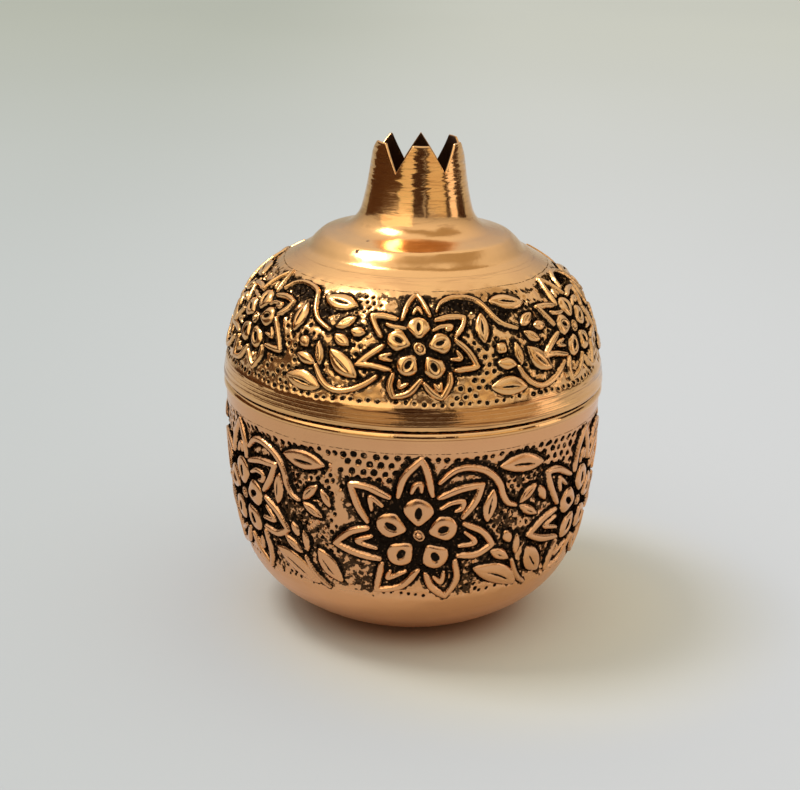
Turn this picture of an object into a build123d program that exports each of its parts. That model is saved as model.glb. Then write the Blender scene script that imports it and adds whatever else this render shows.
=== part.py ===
"""Covered sugar bowl in the shape of a pomegranate, spun and chased from copper sheet.

Millimetres, +Z up, the origin at the centre of the face that the bowl stands on.
The bowl is a deep round cup whose wall is rolled in at the mouth to a narrow shoulder.
A bead runs round it under the mouth, and a collar is soldered in the mouth.  The lid is a closed
dome with its rim rolled in too; it slips over the collar and comes down on the shoulder.  The crown,
a flared neck cut into six teeth like the calyx of the fruit, is soldered on the lid.
Bowl and lid each carry six chased flowers with a spray of leaves between every two.  A flower is a
star of sepals, drawn as one raised line round a ring of domed petals.  Flowers and sprays are drawn
once, on the plane that touches the turned form at their middle, and raised to the same height over
it; the hollow is cut last.
Each outline is a run of corners, from the bottom up or from the rim up, and each corner is rounded.
The width of the belly drives the widths of flank, haunch, shoulder and lid, which keep their steps.
Heights of the bowl are counted from the ground, those of the lid from the seam between bowl and lid,
and those of the crown from its foot on the lid's cone.
Azimuths are in degrees, counted from -Y towards +X.
"""

import os
from math import cos, pi, radians, sin, tan

from build123d import *

# sheet
bowl_wall = 0.9
lid_wall = 0.9
crown_wall = 0.8
collar_wall = 0.7

# clearances
solder_gap = 0.02
lid_clearance = 0.25
seat_gap = 0.15

# bowl
dish_radius = 15.5
dish_height = 0.8
foot_width = 3.0
foot_radius = 20.5
heel_radius = 28.8
heel_height = 2.9
haunch_step = 6.75
haunch_height = 13.3
flank_step = 1.7
flank_height = 29.8
belly_radius = 49.85
belly_height = 49.0
shoulder_swell = 0.35
seam_height = 66.0
shoulder_roll = 1.0
bead_thickness = 2.2
bead_drop = 1.6
bead_stand = 0.6

# collar
collar_above = 5.0
collar_below = 6.0
collar_edge = 0.2

# lid
lid_swell = 0.8
rim_roll = 1.6
rim_tuck = 1.92
brow_step = 1.6
brow_height = 10.5
crest_step = 7.0
crest_height = 26.0
cone_slope = 29.5
lid_top_bend = 5.0

# crown
crown_foot_radius = 28.5
crown_foot_width = 2.9
crown_edge_radius = 24.9
crown_edge_height = 3.68
crown_edge_bend = 1.6
throat_radius = 15.6
throat_height = 6.03
neck_radius = 13.25
neck_height = 15.23
tip_radius = 11.4
tip_height = 28.23

# notches between the teeth, cut by hand: azimuth of the valley and width at the tips, both in degrees
notch_depth = 7.3
notches = ((-27, 41), (35, 42), (95, 47), (155, 45), (198, 43), (256, 71))

# chased flowers, at the bowl's size
chasing_height = 0.7
chased_line = 1.5
sepal_count = 7
star_radius = 20.0
star_waist = 10.6
petal_count = 5
petal_ring = 6.5
petal_size = 7.0
petal_rise = 0.9

# sprays between the flowers: the stem's points, and for each leaf its stalk, its tip and its width
stem = ((-21, 14.6), (-13, 18.1), (-5, 12.2), (-0.5, 5.7))
leaves = (
    ((8.0, 16.0), (-5.9, 17.2), 4.9),
    ((-11.4, -10.2), (4.2, -18.4), 5.6),
    ((4.8, -7.4), (12.0, -16.4), 5.4),
)

# where the flowers stand, and the lid's share of the bowl's sizes
bowl_flowers = (2.8, 64, 123, 181, 239.5, 298)
bowl_flower_height = 38.6
lid_flowers = (1.8, 62, 121, 180.5, 240, 299)
lid_flower_height = 20.2
lid_flower_share = 0.7
lid_spray_width = 0.92

# worked out from the values above
haunch_radius = belly_radius - haunch_step
flank_radius = belly_radius - flank_step
shoulder_radius = belly_radius + shoulder_swell
lid_radius = shoulder_radius + lid_swell
brow_radius = lid_radius - brow_step
crest_radius = lid_radius - crest_step
lip_radius = lid_radius - rim_tuck
collar_radius = lip_radius - lid_clearance
mouth_radius = collar_radius + solder_gap
lid_seat = seam_height + seat_gap
spray_turn = 180 / len(bowl_flowers)
chasing_reach = star_radius / 2


def cone_height(radius):
    """Height of the lid's cone, or of the cone drawn on, at a radius."""
    return seam_height + crest_height + (crest_radius - radius) * tan(radians(cone_slope))


lid_top_radius = crown_foot_radius - crown_foot_width
lid_top = cone_height(lid_top_radius)
crown_foot = cone_height(crown_foot_radius)
tip_top = crown_foot + tip_height


def rounding(corners, share=0.97):
    """Radius of the arc at each inner corner of an outline that leaves hardly any run straight.

    Two arcs share the run between them, and an end run has only one.
    """
    points = [Vector(*corner) for corner in corners]
    runs = [end - start for start, end in zip(points, points[1:])]
    room = [run.length / 2 for run in runs]
    room[0] = runs[0].length
    room[-1] = runs[-1].length
    radii = []
    for corner in range(len(runs) - 1):
        half_turn = radians(runs[corner].get_angle(runs[corner + 1]) / 2)
        radii.append(share * min(room[corner], room[corner + 1]) / tan(half_turn))
    return radii


def filled(run, closing):
    """Section between an outline and the axis."""
    with BuildSketch() as area:
        with BuildLine():
            add(run)
            Polyline(*closing)
        make_face()
    return area.sketch


def strip(run, width, side):
    """Section between an outline and the same outline moved to one side."""
    with BuildSketch() as band:
        with BuildLine():
            add(run)
            offset(amount=width, side=side)
        make_face()
    return band.sketch


def turned(*sections, cut=()):
    """Solid that some sections, less others, sweep round the axis."""
    with BuildPart() as form:
        with BuildSketch(Plane.XZ):
            add(sections)
            for section in cut:
                add(section, mode=Mode.SUBTRACT)
        revolve(axis=Axis.Z)
    return form.part


def touching(form, start, outward):
    """The plane that touches a form where a line from inside it comes out, with its y axis up the form."""
    point, normal = form.find_intersection_points(Axis(start, outward))[-1]
    up = Vector(0, 0, 1) - normal * normal.Z
    return Plane(point, x_dir=up.cross(normal), z_dir=normal)


def star(share):
    """Drawing of the sepals: one raised line along a star's edge."""
    points = []
    for corner in range(2 * sepal_count):
        reach = share * (star_waist if corner % 2 else star_radius)
        turn = pi / 2 + corner * pi / sepal_count
        points.append((reach * cos(turn), reach * sin(turn)))
    with BuildSketch() as drawing:
        with BuildLine():
            Polyline(*points, close=True)
        make_face()
        offset(amount=-chased_line, kind=Kind.INTERSECTION, mode=Mode.SUBTRACT)
    return drawing.sketch


def spray(wide, high):
    """Drawing of a bent stem and its leaves, each leaf between two arcs."""
    with BuildSketch() as drawing:
        with BuildLine():
            bend = ThreePointArc(*[(wide * x, high * y) for x, y in stem[:3]])
            Line(bend @ 1, (wide * stem[3][0], high * stem[3][1]))
        trace(line_width=chased_line)
        for stalk, tip, width in leaves:
            ends = [(wide * x, high * y) for x, y in (stalk, tip)]
            with BuildLine():
                SagittaArc(ends[0], ends[1], high * width / 2)
                SagittaArc(ends[1], ends[0], high * width / 2)
            make_face()
    return drawing.sketch


def raised(drawing, plane, limit):
    """Solid over a drawing on a plane, as far as the skin of a form that limits it."""
    with BuildPart() as relief:
        with BuildSketch(plane):
            add(drawing)
        extrude(amount=chasing_reach, both=True)
        add(limit, mode=Mode.INTERSECT)
    return relief.part


def petals(form, plane, share):
    """A ring of petals, each the cap of a sphere that stands out of the form."""
    half_width = share * petal_size / 2
    radius = (half_width**2 + petal_rise**2) / (2 * petal_rise)
    with BuildPart() as ring:
        for petal in range(petal_count):
            turn = pi / 2 + petal * 2 * pi / petal_count
            across, up = share * petal_ring * cos(turn), share * petal_ring * sin(turn)
            start = plane.from_local_coords(Vector(across, up, -chasing_reach))
            top = touching(form, start, plane.z_dir)
            with Locations(top.origin + top.z_dir * (petal_rise - radius)):
                Sphere(radius)
    return ring.part


def chased(form, limit, height, share, spray_width):
    """One flower at azimuth 0 and the spray beside it."""
    front = touching(form, (0, 0, height), (0, -1, 0))
    with BuildPart() as motif:
        add(raised(star(share), front, limit))
        add(petals(form, front, share))
        with Locations(Rotation(0, 0, spray_turn)):
            add(raised(spray(spray_width, share), front, limit))
    return motif.part


# the outlines, from the dished middle of the bowl's base to the lip of its mouth, and over the lid
bowl_base = [(0, dish_height), (dish_radius, dish_height), (foot_radius - foot_width, 0), (foot_radius, 0)]
bowl_side = [
    (foot_radius, 0),
    (heel_radius, heel_height),
    (haunch_radius, haunch_height),
    (flank_radius, flank_height),
    (belly_radius, belly_height),
    (shoulder_radius, seam_height),
    (mouth_radius, seam_height),
]
lid_outline = [
    (lip_radius, lid_seat),
    (lid_radius, lid_seat),
    (brow_radius, seam_height + brow_height),
    (crest_radius, seam_height + crest_height),
    (lid_top_radius, lid_top),
    (0, lid_top),
]
with BuildLine() as bowl_run:
    FilletPolyline(*bowl_base, radius=rounding(bowl_base))
    FilletPolyline(*bowl_side, radius=rounding(bowl_side)[:-1] + [shoulder_roll])
with BuildLine() as lid_run:
    FilletPolyline(*lid_outline, radius=[rim_roll] + rounding(lid_outline)[1:3] + [lid_top_bend])
bowl_area = filled(bowl_run.line, [(mouth_radius, seam_height), (0, seam_height), (0, dish_height)])
lid_area = filled(lid_run.line, [(0, lid_top), (0, lid_seat), (lip_radius, lid_seat)])

# the bowl: the turned form with its bead and flowers, less its hollow
bowl_form = turned(bowl_area)
bowl_limit = turned(bowl_area, strip(bowl_run.line, chasing_height, Side.RIGHT))
with BuildPart() as bowl:
    add(bowl_form)
    with BuildSketch(Plane.XZ):
        with Locations((shoulder_radius + bead_stand - bead_thickness / 2, seam_height - bead_drop)):
            Circle(bead_thickness / 2)
    revolve(axis=Axis.Z)
    with Locations([Rotation(0, 0, azimuth) for azimuth in bowl_flowers]):
        add(chased(bowl_form, bowl_limit, bowl_flower_height, 1, 1))
    add(turned(bowl_area, cut=[strip(bowl_run.line, bowl_wall, Side.LEFT)]), mode=Mode.SUBTRACT)
bowl.part.label = "bowl"

# the collar: a short tube that hangs in the mouth and stands up inside the lid
with BuildPart() as mouth_collar:
    with BuildSketch(Plane.XY.offset(seam_height - collar_below)):
        Circle(collar_radius)
        Circle(collar_radius - collar_wall, mode=Mode.SUBTRACT)
    extrude(amount=collar_below + collar_above)
    chamfer(mouth_collar.edges().group_by(Axis.Z)[-1].sort_by(SortBy.LENGTH)[-1], collar_edge)
mouth_collar.part.label = "mouth_collar"

# the lid: the turned form with its flowers, less its hollow
lid_form = turned(lid_area)
lid_limit = turned(lid_area, strip(lid_run.line, chasing_height, Side.RIGHT))
with BuildPart() as lid:
    add(lid_form)
    with Locations([Rotation(0, 0, azimuth) for azimuth in lid_flowers]):
        add(chased(lid_form, lid_limit, seam_height + lid_flower_height, lid_flower_share, lid_spray_width))
    add(turned(lid_area, cut=[strip(lid_run.line, lid_wall, Side.LEFT)]), mode=Mode.SUBTRACT)
lid.part.label = "lid"

# the crown: a flared tube cut off along the cone at its foot, with its rim notched into six teeth
crown_outline = [
    (crown_foot_radius, crown_foot),
    (crown_edge_radius, crown_foot + crown_edge_height),
    (throat_radius, crown_foot + throat_height),
    (neck_radius, crown_foot + neck_height),
    (tip_radius, tip_top),
]
with BuildPart() as crown:
    with BuildSketch(Plane.XZ):
        with BuildLine():
            FilletPolyline(*crown_outline, radius=[crown_edge_bend] + rounding(crown_outline)[1:])
            offset(amount=crown_wall, side=Side.LEFT)
        make_face()
        with BuildLine():
            Polyline(
                (lid_top_radius, lid_top + solder_gap),
                (lid_radius, cone_height(lid_radius) + solder_gap),
                (lid_top_radius, cone_height(lid_radius) + solder_gap),
                close=True,
            )
        make_face(mode=Mode.SUBTRACT)
    revolve(axis=Axis.Z)
    for azimuth, width in notches:
        across = (cos(radians(azimuth)), sin(radians(azimuth)), 0)
        outward = (sin(radians(azimuth)), -cos(radians(azimuth)), 0)
        half_width = tip_radius * sin(radians(width / 2))
        with BuildSketch(Plane((0, 0, tip_top), x_dir=across, z_dir=outward)):
            with BuildLine():
                Polyline((-2 * half_width, notch_depth), (0, -notch_depth), (2 * half_width, notch_depth), close=True)
            make_face()
        extrude(amount=2 * tip_radius, mode=Mode.SUBTRACT)
crown.part.label = "crown"

os.makedirs("parts", exist_ok=True)
export_step(bowl.part, "parts/bowl.step")
export_step(mouth_collar.part, "parts/mouth_collar.step")
export_step(lid.part, "parts/lid.step")
export_step(crown.part, "parts/crown.step")
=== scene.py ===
"""Looks of a covered copper sugar bowl in the shape of a pomegranate.

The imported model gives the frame.  Bowl, lid and crown are surfaces of revolution.  On bowl and lid
the height over the turned form is a field on azimuth and arc length, so that the flowers, leaves,
scrolls and punched dots stand out of the sheet as chased work does.  The same fields, kept on the
vertices, say where the black patina lies.

Lengths are in millimetres until a mesh is made, and azimuths are in degrees, counted from -Y
towards +X.  On a band, x runs along the azimuth and y up the sheet, from the middle of a flower.
Settings, lamps and finishes are in metres.
"""

import math
from functools import cached_property

import bpy
import numpy as np
from mathutils import Matrix, Vector


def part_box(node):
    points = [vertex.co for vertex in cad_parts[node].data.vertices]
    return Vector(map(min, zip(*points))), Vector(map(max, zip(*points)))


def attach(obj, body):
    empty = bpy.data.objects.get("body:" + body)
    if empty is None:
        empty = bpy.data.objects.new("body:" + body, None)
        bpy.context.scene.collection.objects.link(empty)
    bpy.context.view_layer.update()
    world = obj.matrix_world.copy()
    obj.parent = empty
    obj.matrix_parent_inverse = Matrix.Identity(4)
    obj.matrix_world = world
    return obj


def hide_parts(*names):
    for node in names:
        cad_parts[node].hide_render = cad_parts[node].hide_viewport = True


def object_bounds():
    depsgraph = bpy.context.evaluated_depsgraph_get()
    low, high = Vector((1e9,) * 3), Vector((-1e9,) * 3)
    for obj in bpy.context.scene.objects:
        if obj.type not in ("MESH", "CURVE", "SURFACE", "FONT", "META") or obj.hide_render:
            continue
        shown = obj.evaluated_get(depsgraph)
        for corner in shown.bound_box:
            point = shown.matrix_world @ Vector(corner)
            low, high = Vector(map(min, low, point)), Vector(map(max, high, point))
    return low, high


bl_info = {
    "name": "Copper Sugar Bowl",
    "version": (1, 0, 0),
    "blender": (4, 5, 0),
    "location": "3D View > Sidebar > Sugar Bowl",
    "description": "A chased and blackened copper sugar bowl in the shape of a pomegranate",
    "category": "Object",
}

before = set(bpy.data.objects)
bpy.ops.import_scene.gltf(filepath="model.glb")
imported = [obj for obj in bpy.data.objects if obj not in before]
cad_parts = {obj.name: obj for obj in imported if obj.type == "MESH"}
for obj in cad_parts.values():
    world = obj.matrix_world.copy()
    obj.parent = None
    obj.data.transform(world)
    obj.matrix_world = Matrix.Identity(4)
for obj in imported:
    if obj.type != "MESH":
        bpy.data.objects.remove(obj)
CAD_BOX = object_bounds()

MM = 1000.0  # millimetres in a metre
BOWL_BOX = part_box("bowl")
LID_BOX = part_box("lid")
CROWN_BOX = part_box("crown")

# turned forms, taken from the frame where it has them
SEAM_HEIGHT = BOWL_BOX[1].z * MM
BOWL_RADIUS = BOWL_BOX[1].x * MM
LID_RADIUS = LID_BOX[1].x * MM
LID_SEAT = LID_BOX[0].z * MM
CROWN_TOP = CROWN_BOX[1].z * MM
CROWN_FOOT_RADIUS = CROWN_BOX[1].x * MM
MOUTH_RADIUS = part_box("mouth_collar")[1].x * MM + 0.02
SHEET = 0.9
CROWN_SHEET = 0.8

# corners of the lid's outline before they are rounded, and the slope of the cone over its crest
LID_CORNER = LID_RADIUS + 0.27
CREST_RADIUS = LID_CORNER - 7.0
CREST_HEIGHT = SEAM_HEIGHT + 26.0
CONE_SLOPE = 29.5
LID_TOP_RADIUS = 25.6

# widest the dressed sheet may be, so that the relief stays inside the turned form's own width
WIDEST = CAD_BOX[1].x * MM - 0.01

# what the settings have in common
LENGTH = {"subtype": "DISTANCE", "unit": "LENGTH"}
ANGLE = {"subtype": "ANGLE", "unit": "ROTATION"}
COLOUR = {"subtype": "COLOR", "size": 3, "min": 0.0, "max": 1.0}


class SheetSizes(bpy.types.PropertyGroup):
    """Sizes of the chased sheet."""

    relief: bpy.props.FloatProperty(
        name="Relief", description="How far the flowers and leaves stand out of the turned form",
        default=0.00062, min=0.0, max=0.002, **LENGTH,
    )
    sunk: bpy.props.FloatProperty(
        name="Sunk ground", description="How far the ground round the flowers is beaten in",
        default=0.0004, min=0.0, max=0.002, **LENGTH,
    )
    columns: bpy.props.IntProperty(
        name="Columns", description="Mesh columns in a third of the bowl or lid",
        default=360, min=24, max=390,
    )
    bead: bpy.props.FloatProperty(
        name="Bead", description="Height of the rolled bead under the seam, from its widest point up",
        default=0.0016, min=0.0008, max=0.0018, **LENGTH,
    )


class MetalColours(bpy.types.PropertyGroup):
    """Colours of the metal and its patina."""

    copper: bpy.props.FloatVectorProperty(
        name="Copper", description="Colour of the polished copper", default=(0.88, 0.485, 0.195), **COLOUR
    )
    rose: bpy.props.FloatVectorProperty(
        name="Rose copper", description="Colour of the satin copper of the bowl",
        default=(0.83, 0.425, 0.20), **COLOUR,
    )
    black: bpy.props.FloatVectorProperty(
        name="Black patina", description="Colour of the blackened ground",
        default=(0.014, 0.009, 0.006), **COLOUR,
    )
    tin: bpy.props.FloatVectorProperty(
        name="Tin", description="Colour of the tinned inside", default=(0.72, 0.70, 0.66), **COLOUR
    )


class StudioSetup(bpy.types.PropertyGroup):
    """Camera and floor."""

    distance: bpy.props.FloatProperty(
        name="Distance", description="From the middle of the seam to the camera", default=0.450, **LENGTH
    )
    elevation: bpy.props.FloatProperty(
        name="Elevation", description="Height of the camera over the horizon, seen from the seam",
        default=math.radians(17.52), **ANGLE,
    )
    roll: bpy.props.FloatProperty(
        name="Roll", description="Tilt of the camera about its line of sight",
        default=math.radians(1.359), **ANGLE,
    )
    pan: bpy.props.FloatProperty(
        name="Pan", description="Turn of the camera to the left of the seam's middle",
        default=math.radians(0.4294), **ANGLE,
    )
    tilt: bpy.props.FloatProperty(
        name="Tilt", description="Turn of the camera below the seam's middle",
        default=math.radians(0.8547), **ANGLE,
    )
    lens: bpy.props.FloatProperty(name="Lens", description="Focal length, in millimetres", default=74.93)
    floor_colour: bpy.props.FloatVectorProperty(
        name="Floor", description="Colour of the floor", default=(0.628, 0.64, 0.655), **COLOUR
    )


# outlines: lines of (radius, height), from the middle or the rim up

LINE_STEP = 0.05


def rounding(corners, share=0.97):
    """Radius at each inner corner: the share of the shorter half run over the tangent of half the turn.

    Two arcs share the run between them, and an end run has only one.
    """
    runs = np.diff(np.array(corners, float), axis=0)
    lengths = np.hypot(*runs.T)
    room = lengths / 2
    room[0], room[-1] = lengths[0], lengths[-1]
    turns = np.abs(np.diff(np.unwrap(np.arctan2(runs[:, 1], runs[:, 0]))))
    return list(share * np.minimum(room[:-1], room[1:]) / np.tan(turns / 2))


def rounded_run(corners, radii):
    """Even points along a run of corners, with an arc tangent to both runs at each inner corner.

    An arc starts the radius times the tangent of half the turn before its corner.
    """
    corners = np.array(corners, float)
    parts = [corners[:1]]
    for place, radius in enumerate(radii, 1):
        before, corner, after = corners[place - 1 : place + 2]
        into = (corner - before) / np.linalg.norm(corner - before)
        out = (after - corner) / np.linalg.norm(after - corner)
        turn = math.acos(min(1.0, float(into @ out)))
        side = math.copysign(1.0, into[0] * out[1] - into[1] * out[0])
        inward = side * np.array([-into[1], into[0]])
        start = corner - into * radius * math.tan(turn / 2)
        angles = np.linspace(0, turn, max(4, int(radius * turn / LINE_STEP)))[:, None]
        parts.append(start + radius * inward + radius * (np.sin(angles) * into - np.cos(angles) * inward))
    parts.append(corners[-1:])
    return evened(np.concatenate(parts), LINE_STEP)


def evened(points, step):
    """The same line with its points at even distances of about a step along it."""
    lengths = np.hypot(*np.diff(points, axis=0).T)
    along = np.concatenate([[0], np.cumsum(lengths)])
    stations = np.linspace(0, along[-1], max(2, int(along[-1] / step)))
    return np.stack([np.interp(stations, along, points[:, k]) for k in (0, 1)], axis=1)


def eased(points, reach):
    """The line averaged with a bell curve of that reach along it, with its two ends held.

    Each end is continued by its own half turn, so that the bell has points on both sides.
    """
    count = int(3 * reach / LINE_STEP)
    bell = np.exp(-0.5 * (np.arange(-count, count + 1) * LINE_STEP / reach) ** 2)
    bell /= bell.sum()
    before = 2 * points[0] - points[count:0:-1]
    after = 2 * points[-1] - points[-2 : -count - 2 : -1]
    longer = np.concatenate([before, points, after])
    return np.stack([np.convolve(longer[:, k], bell, "valid") for k in (0, 1)], axis=1)


class Outline:
    """A line in the half plane of radius and height, read by arc length."""

    def __init__(self, points):
        self.points = points
        lengths = np.hypot(*np.diff(points, axis=0).T)
        self.along = np.concatenate([[0], np.cumsum(lengths)])
        self.length = self.along[-1]
        slope = np.gradient(points, self.along, axis=0)
        slope /= np.linalg.norm(slope, axis=1)[:, None]
        self.normals = np.stack([slope[:, 1], -slope[:, 0]], axis=1)

    def read(self, stations, values):
        """Both parts of some values of the line at each arc length."""
        return [np.interp(stations, self.along, values[:, k]) for k in (0, 1)]

    def at(self, stations, depth=0.0):
        """Radius and height at each arc length, that far under the surface."""
        radius, height = self.read(stations, self.points)
        out, up = self.read(stations, self.normals)
        return radius - depth * out, height - depth * up

    def station(self, height, after=0.0):
        """Arc length at which the line first reaches a height, counted from a station on."""
        later = self.along >= after
        reached = np.argmax(self.points[later, 1] >= height)
        return self.along[later][reached]


def bowl_outline():
    """The bowl's outside, from the middle of the dished base to the lip of the mouth."""
    belly = BOWL_RADIUS - 0.95
    base = [(0, 0.8), (15.5, 0.8), (17.5, 0), (20.5, 0)]
    side = [
        (20.5, 0),
        (28.8, 2.9),
        (belly - 6.75, 13.3),
        (belly - 1.7, 29.8),
        (belly, 49.0),
        (belly + 0.35, SEAM_HEIGHT),
        (MOUTH_RADIUS, SEAM_HEIGHT),
    ]
    under = eased(rounded_run(base, rounding(base)), 0.4)
    wall = eased(rounded_run(side[:6], rounding(side)[:4]), 2.0)
    bead = scene_sizes().bead * MM
    turns = np.linspace(0, math.pi / 2, 40)[:, None]
    arc = np.concatenate([np.cos(turns), np.sin(turns)], axis=1)
    under_roll = [BOWL_RADIUS - 0.6, SEAM_HEIGHT - bead] + arc[::-1] * [0.6, -0.3 * bead]
    over_roll = [BOWL_RADIUS - 0.8 * bead, SEAM_HEIGHT - bead] + arc * [0.8 * bead, bead]
    roll = np.concatenate([under_roll, over_roll[1:]])
    wall = wall[wall[:, 1] < roll[0, 1] - 0.03]
    lip = np.array([[MOUTH_RADIUS, SEAM_HEIGHT]])
    return Outline(evened(np.concatenate([under, wall[1:], roll, lip]), 0.04))


def lid_outline():
    """The lid's outside, from its rolled rim over the dome and up the cone to the middle of its top.

    The rim's arc is left as it is, and the dome after it is eased.
    """
    top = cone_height(LID_TOP_RADIUS)
    corners = [
        (LID_CORNER - 1.92, LID_SEAT),
        (LID_CORNER, LID_SEAT),
        (LID_CORNER - 1.6, SEAM_HEIGHT + 10.5),
        (CREST_RADIUS, CREST_HEIGHT),
        (LID_TOP_RADIUS, top),
        (0, top),
    ]
    whole = rounded_run(corners, [0.9] + rounding(corners)[1:3] + [5.0])
    rim_points = 70
    dome = eased(whole[rim_points:], 1.2)
    return Outline(evened(np.concatenate([whole[:rim_points], dome]), LINE_STEP))


def cone_height(radius):
    """Height of the lid's cone at a radius."""
    return CREST_HEIGHT + (CREST_RADIUS - radius) * math.tan(math.radians(CONE_SLOPE))


def crown_outline():
    """The crown's outside, from the edge on the cone over its shoulder and up the neck to the tips."""
    foot = cone_height(CROWN_FOOT_RADIUS)
    corners = [
        (CROWN_FOOT_RADIUS + 2.2, cone_height(CROWN_FOOT_RADIUS + 2.2)),
        (CROWN_FOOT_RADIUS, foot),
        (26.9, foot + 1.85),
        (24.9, foot + 3.68),
        (15.6, foot + 6.03),
        (13.25, foot + 15.23),
        (11.4, CROWN_TOP),
    ]
    return Outline(eased(rounded_run(corners, [2.0, 1.5, 1.5] + rounding(corners)[3:]), 0.45))


# fields of the chased work


def curve_through(points, count=14):
    """A smooth line through given points: cubics that pass each point along its neighbours' chord."""
    points = np.array(points, float)
    if len(points) < 3:
        return points
    padded = np.concatenate([[2 * points[0] - points[1]], points, [2 * points[-1] - points[-2]]])
    t = np.linspace(0, 1, count, endpoint=False)[:, None]
    parts = []
    for k in range(len(points) - 1):
        a, b, c, d = padded[k : k + 4]
        parts.append(
            0.5 * (2 * b + (c - a) * t + (2 * a - 5 * b + 4 * c - d) * t**2 + (3 * b - a - 3 * c + d) * t**3)
        )
    parts.append(points[-1:])
    return np.concatenate(parts)


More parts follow.
